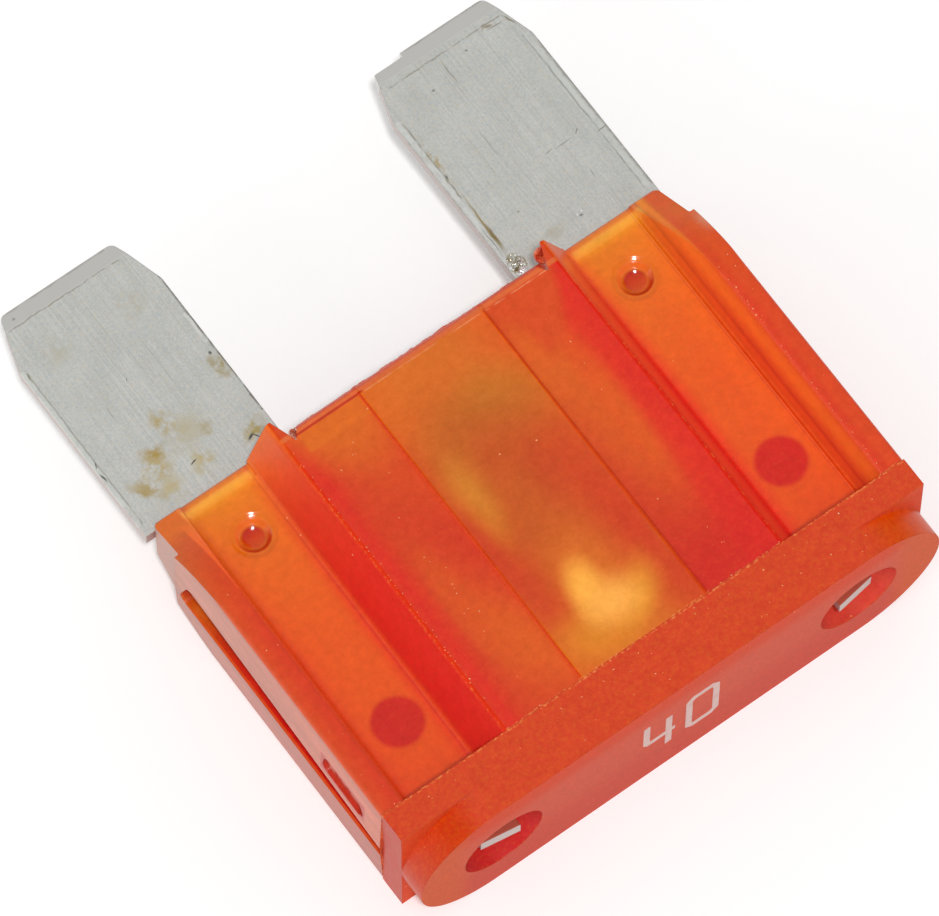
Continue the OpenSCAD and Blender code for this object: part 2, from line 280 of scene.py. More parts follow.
polycarbonate, tree = new_material("frosted_orange_polycarbonate")
place = in_millimetres(tree)
x, y, z = add_node(tree, "ShaderNodeSeparateXYZ", {0: place}).outputs
across = math_of(tree, "ABSOLUTE", x)
height = math_of(tree, "ABSOLUTE", z)
beyond_head = share_between(tree, y, head_depth, far, 0.03)

# the body from side to side, half way along: ribs, panels, and the walls of the bulge. Painted
# light lifts the inner faces of the ribs and the walls on the right, and painted shade makes the
# thin dark lines at the feet of the bulge and of the ribs
left_half = graded(
    tree,
    x,
    [
        (-14.75, "#d05a30"),
        (-14.45, "#d24e2c"),
        (-14.30, "#d64a28"),
        (-14.10, "#d64828"),
        (-13.95, "#d44427"),
        (-13.65, "#d44026"),
        (-13.45, "#d54027"),
        (-13.38, "#f4582b"),
        (-12.84, "#f4642e"),
        (-12.76, "#da4c26"),
        (-12.60, "#da4d26"),
        (-12.45, "#de5423"),
        (-12.30, "#e35c20"),
        (-11.50, "#e56020"),
        (-9.70, "#e56020"),
        (-9.50, "#e35922"),
        (-9.30, "#e45025"),
        (-9.20, "#de4624"),
        (-9.14, "#d23720"),
        (-9.06, "#e34e25"),
        (-8.95, "#dd4425"),
        (-8.85, "#da3226"),
        (-8.75, "#dc2a26"),
        (-8.00, "#da2c26"),
        (-7.85, "#da3126"),
        (-7.78, "#da3828"),
        (-7.70, "#da3926"),
    ],
)
right_half = graded(
    tree,
    x,
    [
        (7.78, "#dc3026"),
        (7.85, "#ee3c2e"),
        (8.05, "#f5452e"),
        (8.30, "#f5452e"),
        (8.55, "#f23c2e"),
        (8.75, "#ee332d"),
        (8.95, "#e22e27"),
        (9.05, "#e23725"),
        (9.15, "#e64624"),
        (9.30, "#e75024"),
        (9.50, "#e65a21"),
        (9.80, "#e66220"),
        (10.60, "#e66020"),
        (11.20, "#e76020"),
        (11.70, "#e9631f"),
        (12.20, "#eb661e"),
        (12.45, "#e8621f"),
        (12.61, "#e45a24"),
        (12.66, "#c8340c"),
        (12.72, "#e25a26"),
        (12.90, "#e45626"),
        (12.95, "#cc3c22"),
        (13.00, "#dc5226"),
        (13.10, "#ea6428"),
        (13.18, "#ee7028"),
        (13.30, "#ea6828"),
        (13.42, "#db4626"),
        (13.55, "#da4126"),
        (13.75, "#da4426"),
        (14.00, "#db4b26"),
        (14.30, "#d94926"),
        (14.60, "#d84a2a"),
    ],
)
on_right = share_between(tree, x, 0, far, 0.01)
over_panel = share_between(tree, across, 9.2, 12.55, 0.12)
body = layered(tree, left_half, [(on_right, right_half)])
# painted highlight: a pale pink patch on the right side near the blade end
right_end_highlight = all_of(tree, [share_between(tree, x, 14.35, far, 0.3), share_between(tree, y, 17.7, 18.7, 0.6)])
beside_foot = share_between(tree, x, 12.51, 12.55, 0.02)
body = layered(tree, body, [(right_end_highlight, "#dc8068"), (beside_foot, "#d04a20")])

# painted shade: the panels redden toward the head, where no light comes in from the end
toward_head = rising(tree, y, 10.5, 4.6, 0.0, 0.3)
at_head = rising(tree, y, 4.6, 3.0, 0.0, 0.3)
body = layered(
    tree,
    body,
    [
        (all_of(tree, [over_panel, toward_head]), "#df4425"),
        (all_of(tree, [over_panel, at_head]), "#d44426"),
    ],
)
# painted shade: darker red discs over the locating holes, where no metal shows through the panels
locating_holes = [
    (-stake_x, locating_hole_y, 1.42, 1.42, 0, 0.76, "#cb3127"),
    (stake_x, locating_hole_y, 1.42, 1.42, 0, 0.76, "#d03026"),
]
body = layered(tree, body, patches(tree, place, locating_holes))

# painted light: the light that comes in at the blade end, added to the colour, turns the plastic
# there golden
end_light = graded(
    tree,
    y,
    [
        (13.0, "#000000"),
        (15.0, "#001800"),
        (17.0, "#002500"),
        (19.0, "#003801"),
        (20.3, "#2c4c02"),
        (21.4, "#385e08"),
    ],
)
panel_light = graded(
    tree,
    y,
    [
        (12.0, "#000000"),
        (14.0, "#001d00"),
        (16.0, "#002d00"),
        (18.0, "#003e00"),
        (19.0, "#004900"),
        (20.2, "#005700"),
        (20.45, "#3a6a08"),
        (20.6, "#5a802c"),
        (20.8, "#5a8e32"),
        (20.95, "#4c863c"),
        (21.05, "#205f2a"),
        (21.2, "#00552e"),
        (21.3, "#00502e"),
        (21.4, "#003422"),
    ],
)
light_in = layered(tree, end_light, [(share_between(tree, across, 9.1, 13.0, 0.15), panel_light)])
body = vector_of(tree, "ADD", body, light_in)
ramp_end = share_between(tree, y, 20.0, far, 0.5)
left_ramp_end = all_of(tree, [ramp_end, share_between(tree, x, -far, -13.0, 0.1)])
right_ramp_end = all_of(tree, [ramp_end, share_between(tree, x, 13.5, far, 0.1)])
body = layered(tree, body, [(left_ramp_end, "#e46e24"), (right_ramp_end, "#dc5a26")])

# the roof over the link, all painted light and shade: deep red near the walls, the link's blurred
# gold painted as glowing and darker patches over the shoulders and the pad, a painted glow at
# the left end, and a darker line of painted shade at each crease
shoulders = graded(
    tree,
    x,
    [
        (-7.8, "#d93b26"),
        (-7.2, "#da3426"),
        (-6.4, "#d34527"),
        (-5.0, "#d44c27"),
        (-3.5, "#d54927"),
        (3.5, "#da6528"),
        (5.0, "#d95f26"),
        (6.2, "#dd3f26"),
        (7.0, "#dc3526"),
        (7.8, "#dc3226"),
    ],
)
left_shoulder_glow_and_shade = [
    (-2.90, 10.50, 2.42, 8.81, 37, 0.12, "#d03f27"),
    (-5.65, 8.15, 1.02, 5.47, 3, 0.45, "#d65227"),
    (-5.33, 20.60, 3.28, 5.21, 19, 0.32, "#d96628"),
    (-4.34, 5.92, 1.91, 4.56, 15, 0.11, "#da5c26"),
]
right_shoulder_glow_and_shade = [
    (5.73, 11.95, 1.04, 7.28, -2, 0.06, "#dd5c26"),
    (3.78, 4.26, 5.44, 6.80, 19, 0.04, "#ce1e27"),
    (2.60, 9.24, 4.01, 12.00, 8, 0.00, "#cd3e27"),
    (5.37, 20.04, 2.17, 4.51, -20, 0.67, "#d64f28"),
    (4.12, 17.10, 2.78, 0.90, 95, 0.00, "#db6226"),
]
left_shoulder = layered(tree, shoulders, patches(tree, place, left_shoulder_glow_and_shade))
right_shoulder = layered(tree, shoulders, patches(tree, place, right_shoulder_glow_and_shade))
pad = graded(tree, x, [(-3.5, "#dd6928"), (-1.5, "#d96f2b"), (1.5, "#d56c2b"), (3.5, "#dc5f28")])
pad_glow_and_shade = [
    (0.18, 15.20, 4.83, 3.50, 20, 0.23, "#c07a2b"),
    (-2.30, 12.30, 2.89, 4.82, -41, 0.28, "#e1a836"),
    (0.10, 13.15, 4.38, 7.25, 23, 0.00, "#c04a27"),
    (-1.04, 10.91, 1.95, 6.16, -19, 0.09, "#c65a27"),
    (-3.28, 10.30, 2.03, 12.00, 8, 0.07, "#cb4526"),
    (-1.72, 4.28, 2.90, 2.15, -23, 0.02, "#de832b"),
    (2.80, 6.13, 5.29, 1.34, 39, 0.00, "#f9b33c"),
    (-0.77, 6.42, 1.28, 2.20, -12, 0.14, "#feaf48"),
    (-0.16, 5.24, 2.27, 1.75, 6, 0.00, "#feb050"),
    (2.89, 7.20, 2.59, 12.00, 5, 0.02, "#cd4326"),
]
pad = layered(tree, pad, patches(tree, place, pad_glow_and_shade))
left_end_glow = all_of(tree, [share_between(tree, y, 19.1, far, 0.1), share_between(tree, x, -6.9, -3.4, 0.1)])
roof = layered(
    tree,
    left_shoulder,
    [
        (left_end_glow, "#dc6a26"),
        (on_right, right_shoulder),
        (share_between(tree, across, -3.5, 3.5, 0.03), pad),
        (share_between(tree, across, 3.45, 3.56, 0.04), "#cf4626"),
    ],
)

# the rounded end of the roof: an orange rim, a dark line under its lip that is a painted shadow,
# and a broken pale edge
broken = noise_of(tree, place, 0.45, 3.0)
edge_kept = rising(tree, broken, 0.36, 0.62)
past_left_crease = share_between(tree, x, -3.2, 7.2, 0.1)
pale_edge = all_of(tree, [share_between(tree, y, 20.07, 20.12, 0.04), past_left_crease, edge_kept])
left_lip_shadow = all_of(tree, [share_between(tree, y, 20.12, 20.24, 0.04), share_between(tree, x, -7.2, -3.3, 0.1)])
roof = layered(
    tree,
    roof,
    [
        (share_between(tree, y, 20.18, far, 0.05), "#dc6a3c"),
        (share_between(tree, y, 20.42, far, 0.05), "#d24a2a"),
        (pale_edge, "#e68e64"),
        (left_lip_shadow, "#c03a20"),
    ],
)
body = layered(tree, body, [(share_between(tree, across, -7.74, 7.74, 0.04), roof)])

# a broken golden line of specks where the body meets the head and along the upper edges of the
# walls; at the seam it lies over a lighter band, and there both are partly dust and partly
# painted light over the shade of the step
at_seam = share_between(tree, y, 2.9, 3.09, 0.04)
at_wall_top = all_of(
    tree, [share_between(tree, across, 7.72, 7.80, 0.03), share_between(tree, height, 3.7, 5, 0.1)]
)
speckled = noise_of(tree, place, 0.16, 2.0)
edge_flecks = all_of(tree, [rising(tree, speckled, 0.5, 0.64), share_between(tree, height, 1.3, 5, 0.1)])
body = layered(
    tree,
    body,
    [
        (all_of(tree, [at_wall_top, edge_flecks]), "#e06034"),
        (share_between(tree, y, 2.9, 3.05, 0.03), "#d8602c"),
        (all_of(tree, [at_seam, rising(tree, speckled, 0.52, 0.60)]), "#e88448"),
    ],
)

# the head is solid plastic. Painted light and shade: the holes are painted with a glow from
# within, the groove deep red with a golden glow toward its end, and the chamber darker
in_groove = all_of(
    tree,
    [share_between(tree, across, 13.9, 14.58, 0.02), share_between(tree, z, -1.4, 1.4, 0.05), beyond_head],
)
groove = graded(
    tree,
    y,
    [
        (3.0, "#c42c20"),
        (10.0, "#c42a20"),
        (14.5, "#c5341e"),
        (16.0, "#be4220"),
        (17.6, "#c8662c"),
        (18.6, "#bc4422"),
    ],
)
in_hole = all_of(
    tree,
    [
        share_between(tree, y, 0.03, 2.0, 0.02),
        share_between(tree, height, -2.2, 2.2, 0.01),
        share_between(tree, across, -13.7, 13.7, 0.02),
    ],
)
in_chamber = all_of(
    tree,
    [share_between(tree, across, -7.3, 7.3, 0.02), share_between(tree, height, -3.2, 3.2, 0.01), beyond_head],
)

# the head: more orange toward its ends, painted light where the plastic is thin. Painted light
# and shade on the rounded sides of the boss, darker on the left and lighter on the right, and
# painted light on the front of the flange; a faint darker line of painted shade where the boss
# meets the flange
at_ends = share_between(tree, across, 12.2, far, 0.8)
head = graded(
    tree,
    y,
    [
        (0.0, "#d04828"),
        (0.2, "#d24727"),
        (1.45, "#d24727"),
        (1.52, "#cf4427"),
        (1.6, "#d24727"),
        (3.0, "#d24727"),
    ],
)
boss_ends = all_of(tree, [at_ends, share_between(tree, y, -1, 1.52, 0.04)])
head = layered(tree, head, [(boss_ends, "#d4562a")])
normal = add_node(tree, "ShaderNodeTexCoord").outputs["Normal"]
facing = add_node(tree, "ShaderNodeSeparateXYZ", {0: normal}).outputs
sideways = math_of(tree, "ABSOLUTE", facing[0])
on_end = share_between(tree, facing[1], -1.1, -0.8, 0.1)
on_boss_side = all_of(
    tree,
    [
        share_between(tree, facing[1], -0.8, 0.8, 0.1),
        share_between(tree, y, -1, 1.52, 0.02),
        share_between(tree, sideways, 0.25, 2, 0.2),
    ],
)
end_face = graded(
    tree,
    z,
    [
        (-4.2, "#c63208"),
        (-2.0, "#c6340e"),
        (0.0, "#cb431f"),
        (2.0, "#ce441d"),
        (3.4, "#d33c08"),
        (4.2, "#d83c00"),
    ],
)
on_flange_front = share_between(tree, y, 1.0, 1.6, 0.05)
end_face = layered(tree, end_face, [(at_ends, "#ce4e12"), (on_flange_front, "#dd4c22")])
facing_side = share_between(tree, sideways, 0.9, 1.1, 0.05)
on_flange_side = all_of(tree, [facing_side, share_between(tree, y, 1.5, head_depth, 0.01)])
on_left = share_between(tree, x, -far, 0, 0.01)
head = layered(
    tree,
    head,
    [
        (all_of(tree, [on_boss_side, on_left]), "#c44020"),
        (all_of(tree, [on_boss_side, on_right]), "#d5501f"),
        (on_end, end_face),
        (on_flange_side, "#ba2c04"),
        (all_of(tree, [at_seam, edge_flecks]), "#ea8048"),
    ],
)

# painted reflection: the flat sides are polished, and their colour is painted with the pale
# table they show, in long streaks, clearest at the nose
streaky = add_node(tree, "ShaderNodeMapping", {"Vector": place, "Scale": (1.0, 0.14, 1.1)}).outputs[0]
streaks = noise_of(tree, streaky, 1.0, 2.0)
upper_side_reflection = graded(
    tree,
    y,
    [(3.0, "#c96a50"), (7.0, "#c97056"), (13.5, "#c1725c"), (18.0, "#be7a66"), (19.5, "#bb7f6c")],
)
lower_side_reflection = graded(tree, y, [(3.0, "#b35440"), (7.0, "#b35a47"), (13.5, "#b66856"), (19.5, "#b5715f")])
side_reflection = layered(tree, lower_side_reflection, [(share_between(tree, z, 0, far, 0.3), upper_side_reflection)])
side_reflection = scaled(tree, side_reflection, rising(tree, streaks, 0.3, 0.7, 0.86, 1.14))
on_side = all_of(
    tree,
    [
        share_between(tree, sideways, 0.97, 1.1, 0.02),
        share_between(tree, across, 14.55, far, 0.02),
        beyond_head,
    ],
)
on_nose = all_of(
    tree,
    [facing_side, share_between(tree, across, 13.5, far, 0.02), share_between(tree, y, 18.98, far, 0.02)],
)

# the punch left a glossy round dimple over each stake, dark red in the middle. Its wall is
# painted lighter orange, painted light, its middle darker toward the blade end, painted shade,
# and a crescent of painted shadow lies on the side toward the head
in_mark = []
mark_radius = []
mark_floor = []
mark_shadow = []
for side in (-1, 1):
    from_mark = vector_of(tree, "SUBTRACT", place, (stake_x * side, stake_y, 0))
    radius = length_of(tree, vector_of(tree, "MULTIPLY", from_mark, (1, 1, 0)))
    along = add_node(tree, "ShaderNodeSeparateXYZ", {0: from_mark}).outputs[1]
    mark_radius.append(radius)
    in_mark.append(share_between(tree, radius, -0.95, 0.95, 0.08))
    floor = graded(tree, along, [(-0.5, "#d6582a"), (0.1, "#c64226"), (0.5, "#b4321c")])
    mark_floor.append((share_between(tree, radius, -0.56, 0.56, 0.09), floor))
    in_shadow = [share_between(tree, radius, 0.62, 0.84, 0.06), rising(tree, along, 0.1, -0.5)]
    mark_shadow.append((all_of(tree, in_shadow), "#c8401c"))
plastic = layered(
    tree,
    head,
    [
        (beyond_head, body),
        (in_groove, groove),
        (in_hole, "#dd5246"),
        (all_of(tree, [in_hole, on_left]), "#d23c3c"),
        (all_of(tree, [in_hole, on_end]), "#d24528"),
        (in_chamber, "#b8361f"),
        (on_side, side_reflection),
        (on_nose, "#b6816f"),
        (in_mark[0], "#ea7930"),
        (in_mark[1], "#ea7930"),
    ]
    + mark_shadow
    + mark_floor,
)

# a torn gate: dark red round its edge, painted shade where the break runs deep, and a broken
# pale pink inside, partly whitened plastic and partly painted reflection like the sides'
in_gate = [
    share_between(tree, x, -14.9, -14.3, 0.03),
    share_between(tree, y, 4.25, 7.6, 0.05),
    share_between(tree, z, 0.8, 2.5, 0.08),
]
gate_inside = [
    share_between(tree, y, 4.75, 7.2, 0.15),
    share_between(tree, z, 1.15, 2.1, 0.12),
    rising(tree, broken, 0.42, 0.52),
]
plastic = layered(
    tree,
    plastic,
    [(all_of(tree, in_gate), "#bc3726"), (all_of(tree, in_gate + gate_inside), "#cc7a68")],
)

# fine mottling, a red and orange grain that is deepest on the head, and pale specks of dust
mottle = noise_of(tree, place, 0.5, 4.0, 0.75)
plastic = scaled(tree, plastic, rising(tree, mottle, 0.3, 0.7, 0.92, 1.08))
grain = noise_of(tree, place, 0.18, 2.0, 0.75)
on_head = share_between(tree, y, -1, head_depth, 0.02)
grain_depth = rising(tree, on_head, 0, 1, 0.35, 1.0)
plastic = layered(
    tree,
    plastic,
    [
        (all_of(tree, [rising(tree, grain, 0.5, 0.72, 0.0, 0.26), grain_depth]), "#dc7028"),
        (all_of(tree, [rising(tree, grain, 0.5, 0.28, 0.0, 0.26), grain_depth]), "#c82020"),
    ],
)
dust = add_node(tree, "ShaderNodeTexVoronoi", {"Vector": place, "Scale": 1 / 0.9})
dust_core = rising(tree, dust.outputs["Distance"], 0.07, 0.03)
dust_chosen = add_node(tree, "ShaderNodeSeparateColor", {0: dust.outputs["Color"]}).outputs[0]
dust_kept = math_of(tree, "GREATER_THAN", dust_chosen, 0.8)
plastic = layered(tree, plastic, [(all_of(tree, [dust_core, dust_kept]), "#ee9a66")])

# the gloss whitens the faces that look up, so their colour starts a little lower
gloss_level = 0.021
colour_gain = 1.12
gloss_white = rising(tree, facing[2], 0.5, 1.0, 0.0, gloss_level)
plastic = vector_of(tree, "SUBTRACT", plastic, gloss_white)
plastic = vector_of(tree, "MAXIMUM", plastic, (0, 0, 0))
plastic = scaled(tree, plastic, colour_gain)

# softened edges, the two dimples, and a frost from the mould's spark erosion, about a fifth of a
# millimetre across; edges and depths in metres
moulded_edge = 0.00006
punched_edge = 0.00016
dimple_depth = 0.00042
frost_depth = 0.00003
bowl_radius = 0.62
rim_rise = 0.24
in_either_mark = math_of(tree, "ADD", in_mark[0], in_mark[1])
edge_radius = rising(tree, in_either_mark, 0, 1, moulded_edge, punched_edge)
soft_edge = add_node(tree, "ShaderNodeBevel", {"Radius": edge_radius}, samples=4).outputs[0]
nearer_mark = math_of(tree, "MINIMUM", mark_radius[0], mark_radius[1])
bowl_reach = math_of(tree, "MINIMUM", nearer_mark, bowl_radius)
bowl = math_of(tree, "MULTIPLY", bowl_reach, bowl_reach)
sunk = eased(tree, nearer_mark, 0.86, 1.2, 0.0, rim_rise)
dimple = math_of(tree, "ADD", bowl, sunk)
bowled = bumped(tree, dimple, 1.0, dimple_depth, soft_edge)
frost = noise_of(tree, place, 0.2, 1.0)
frosted = bumped(tree, frost, 0.25, frost_depth, bowled)

# the sides came off polished steel, the end of the head off a coarser one, and the punch was shiny
end_roughness = 0.62
side_roughness = 0.36
mark_roughness = 0.12
gloss = rising(tree, mottle, 0.3, 0.7, 0.30, 0.40)
round_mark = share_between(tree, nearer_mark, -1.15, 1.15, 0.08)
for share, roughness in ((on_end, end_roughness), (on_side, side_roughness), (round_mark, mark_roughness)):
    gloss = add_node(tree, "ShaderNodeMix", {0: share, 2: gloss, 3: roughness}).outputs[0]

# the rough ends and sides of the head, and the sharp creases of the body, reflect less
corner_dulling = 0.45
top_dulling = 0.6
corner_dull = math_of(tree, "MULTIPLY", all_of(tree, [on_end, at_ends]), corner_dulling)
top_dull = math_of(tree, "MULTIPLY", all_of(tree, [on_end, rising(tree, z, 2.4, 3.2)]), top_dulling)
at_crease = share_between(tree, across, 3.40, 3.62, 0.02)
at_wall_edge = share_between(tree, across, 7.62, 7.92, 0.03)
at_rib_foot = share_between(tree, x, 12.60, 12.72, 0.02)
above_groove = share_between(tree, height, 1, far, 0.1)
dull_head = [on_boss_side, on_flange_side, all_of(tree, [on_end, on_flange_front]), corner_dull, top_dull]
dull_body = [
    all_of(tree, [crease, beyond_head, above_groove]) for crease in (at_crease, at_wall_edge, at_rib_foot)
]
full_reflection = 0.5
least_reflection = 0.15
reflects = rising(tree, largest_of(tree, dull_head + dull_body), 0, 1, full_reflection, least_reflection)
polycarbonate_ior = 1.53
give_surface(
    tree,
    {
        "Base Color": plastic,
        "Roughness": gloss,
        "IOR": polycarbonate_ior,
        "Specular IOR Level": reflects,
        "Normal": frosted,
    },
)
housing.data.materials[0] = polycarbonate


# The rating
# The number of amperes, hot-stamped in pale foil on the end of the head in narrow strokes.

foil, foil_tree = new_material("pale_hot_stamping_foil")
foil_place = add_node(foil_tree, "ShaderNodeTexCoord").outputs["Object"]
foil_wear = noise_of(foil_tree, foil_place, 0.0003, 3.0)
foil_colour = graded(foil_tree, foil_wear, [(0.3, "#d9aaa2"), (0.5, "#dcbab2"), (0.7, "#e2c4bc")])
give_surface(foil_tree, {"Base Color": foil_colour, "Roughness": 0.45})

# the width of a stroke, the thickness of the foil and how far each stroke stands above the last
stroke_width = 0.36
foil_thickness = 0.02
foil_lap = 0.004
four = [[(-2.03, 2.0), (-2.03, 0.0), (-1.88, -0.2), (-0.42, -0.2)], [(-0.78, 1.55), (-0.78, -1.6)]]
nought_left = [(0.62, 1.85), (0.36, 1.6), (0.36, -1.25), (0.62, -1.5)]
nought_right = [(1.62, -1.5), (1.88, -1.25), (1.88, 1.6), (1.62, 1.85)]
nought = [nought_left[1:] + nought_right + nought_left[:2]]


def mesh_object(name, shape, material):
    """An object in the scene, made of a shape that is built and one material."""
    bmesh.ops.recalc_face_normals(shape, faces=shape.faces)
    data = bpy.data.meshes.new(name)
    shape.to_mesh(data)
    shape.free()
    data.materials.append(material)
    made = bpy.data.objects.new(name, data)
    bpy.context.scene.collection.objects.link(made)
    return made


rating_mesh = bmesh.new()
for order, stroke in enumerate(four + nought):
    closed = stroke[0] == stroke[-1]
    points = [Vector(point) for point in stroke]
    count = len(points) - 1 if closed else len(points)
    sides = []
    for index in range(count):
        before = points[index - 1] if closed or index else points[0] * 2 - points[1]
        after = points[(index + 1) % count] if closed or index < count - 1 else points[-1] * 2 - points[-2]
        if closed and index == 0:
            before = points[count - 1]
        way_in, way_out = (points[index] - before).normalized(), (after - points[index]).normalized()
        middle = (way_in + way_out).normalized()
        reach = stroke_width / 2 / max(middle.dot(way_in), 0.5)
        sides.append((points[index], Vector((-middle.y, middle.x)) * reach))
    rings = []
    for depth in (0, -foil_thickness - order * foil_lap):
        ring = []
        for at, side in sides:
            pair = (at + side, at - side)
            ring.append([rating_mesh.verts.new(in_metres(px, depth, pz)) for px, pz in pair])
        rings.append(ring)
    under, over = rings
    for index in range(count if closed else count - 1):
        after = (index + 1) % count
        rating_mesh.faces.new((over[index][0], over[index][1], over[after][1], over[after][0]))
        rating_mesh.faces.new((under[index][0], under[after][0], under[after][1], under[index][1]))
        rating_mesh.faces.new((over[index][0], over[after][0], under[after][0], under[index][0]))
        rating_mesh.faces.new((over[index][1], under[index][1], under[after][1], over[after][1]))
    if not closed:
        for index in (0, count - 1):
            rating_mesh.faces.new((over[index][0], under[index][0], under[index][1], over[index][1]))
rating = mesh_object("rating_print", rating_mesh, foil)
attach(rating, "root")


# The fuse element
# Two blades, their terminals and the link, stamped and skived from one strip of zinc. The rolling
# left fine lines along the blades, and handling left scratches and a few stains of flux.

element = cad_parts["fuse_element"]

rolled_zinc, zinc_tree = new_material("rolled_zinc_alloy")
zinc_place = in_millimetres(zinc_tree)
# rolling lines: a tenth of a millimetre wide and several millimetres long, under a fine matt grain
line_grid = {"Vector": zinc_place, "Scale": (1 / 0.10, 1 / 6.0, 1 / 0.4)}
stretched = add_node(zinc_tree, "ShaderNodeMapping", line_grid).outputs[0]
lines = noise_of(zinc_tree, stretched, 1.0, 3.0, 0.6)
zinc_grain = noise_of(zinc_tree, zinc_place, 0.11, 2.0, 0.7)
cloud = noise_of(zinc_tree, zinc_place, 1.6, 4.0, 0.6)
zinc_y, zinc_z = add_node(zinc_tree, "ShaderNodeSeparateXYZ", {0: zinc_place}).outputs[1:]
metal = graded(zinc_tree, lines, [(0.25, "#c5c6bf"), (0.40, "#cfd0ca"), (0.56, "#d4d5d0"), (0.75, "#dcdcd8")])
metal = scaled(zinc_tree, metal, rising(zinc_tree, zinc_grain, 0.3, 0.7, 0.91, 1.09))
metal = scaled(zinc_tree, metal, rising(zinc_tree, cloud, 0.3, 0.7, 0.97, 1.03))
speckle = noise_of(zinc_tree, zinc_place, 0.22, 3.0, 0.7)
metal = layered(
    zinc_tree,
    metal,
    [
        (rising(zinc_tree, speckle, 0.54, 0.80, 0.0, 0.6), "#dacdb4"),
        (rising(zinc_tree, speckle, 0.46, 0.20, 0.0, 0.6), "#bccacf"),
        # painted light: the thin side faces of the blades are tinted pinkish grey by the red plastic
        (share_between(zinc_tree, zinc_z, -0.38, 0.38, 0.01), "#cabfba"),
    ],
)
at_coined_tip = share_between(zinc_tree, zinc_y, 33.42, far, 0.02)
# painted light: the tops of the terminals' tongues in the test holes are tinted red by the light of the
# plastic round them
tongue_top = all_of(
    zinc_tree,
    [share_between(zinc_tree, zinc_z, 0.385, 2, 0.01), share_between(zinc_tree, zinc_y, -1, 1.3, 0.2)],
)
metal = layered(zinc_tree, metal, [(at_coined_tip, "#deddd8"), (tongue_top, "#c06650")])

# stains, edges, scratch marks and the painted highlights and shade of a dent wander a little, and
# only the side that lies uppermost has them
wander = to_and_fro(zinc_tree, zinc_place, 0.5, 4.0, 0.5)
stain_wander = scaled(zinc_tree, wander, 0.9)
edge_wander = scaled(zinc_tree, wander, 0.16)
stain_place = vector_of(zinc_tree, "ADD", zinc_place, stain_wander)
edge_place = vector_of(zinc_tree, "ADD", zinc_place, edge_wander)
edge_x, edge_y = add_node(zinc_tree, "ShaderNodeSeparateXYZ", {0: edge_place}).outputs[:2]
on_top = share_between(zinc_tree, zinc_z, 0.2, 2, 0.1)
blotch = noise_of(zinc_tree, zinc_place, 0.7, 4.0, 0.65)
patchy = all_of(zinc_tree, [rising(zinc_tree, blotch, 0.36, 0.54), on_top])
worn = all_of(zinc_tree, [rising(zinc_tree, blotch, 0.34, 0.54, 0.05, 0.75), on_top])

# middle x and y, half width and length, turn, how much is full, colour
stains = [
    (-12.00, 24.45, 1.00, 0.70, 0, 0.0, "#b89b50"),
    (-12.30, 23.80, 1.20, 1.00, 0, 0.0, "#c6b27a"),
    (-10.65, 25.45, 0.80, 1.20, 25, 0.0, "#bfa765"),
    (-10.20, 24.60, 1.60, 1.30, 30, 0.0, "#ccc3a8"),
    (-12.30, 22.70, 1.00, 1.00, 0, 0.0, "#ccbf98"),
    (-13.30, 23.25, 0.45, 1.30, 42, 0.0, "#bda873"),
    (-10.30, 22.95, 0.90, 0.90, 0, 0.0, "#c9ba8c"),
    (-7.55, 22.85, 1.00, 0.55, 30, 0.0, "#b9a460"),
    (-7.00, 26.30, 0.45, 1.00, 0, 0.0, "#b2a070"),
    (-9.30, 24.20, 0.40, 0.60, 30, 0.0, "#c2b694"),
    (-8.60, 31.20, 1.00, 1.00, 30, 0.0, "#cbc5b4"),
    (-12.60, 31.30, 1.20, 0.90, 20, 0.0, "#ccc8b8"),
    (7.10, 28.80, 0.25, 1.90, -3, 0.0, "#c0ae84"),
    (12.90, 32.85, 0.50, 0.16, 0, 0.2, "#a89a86"),
    (9.00, 22.60, 1.80, 0.40, 5, 0.0, "#c6bfae"),
]
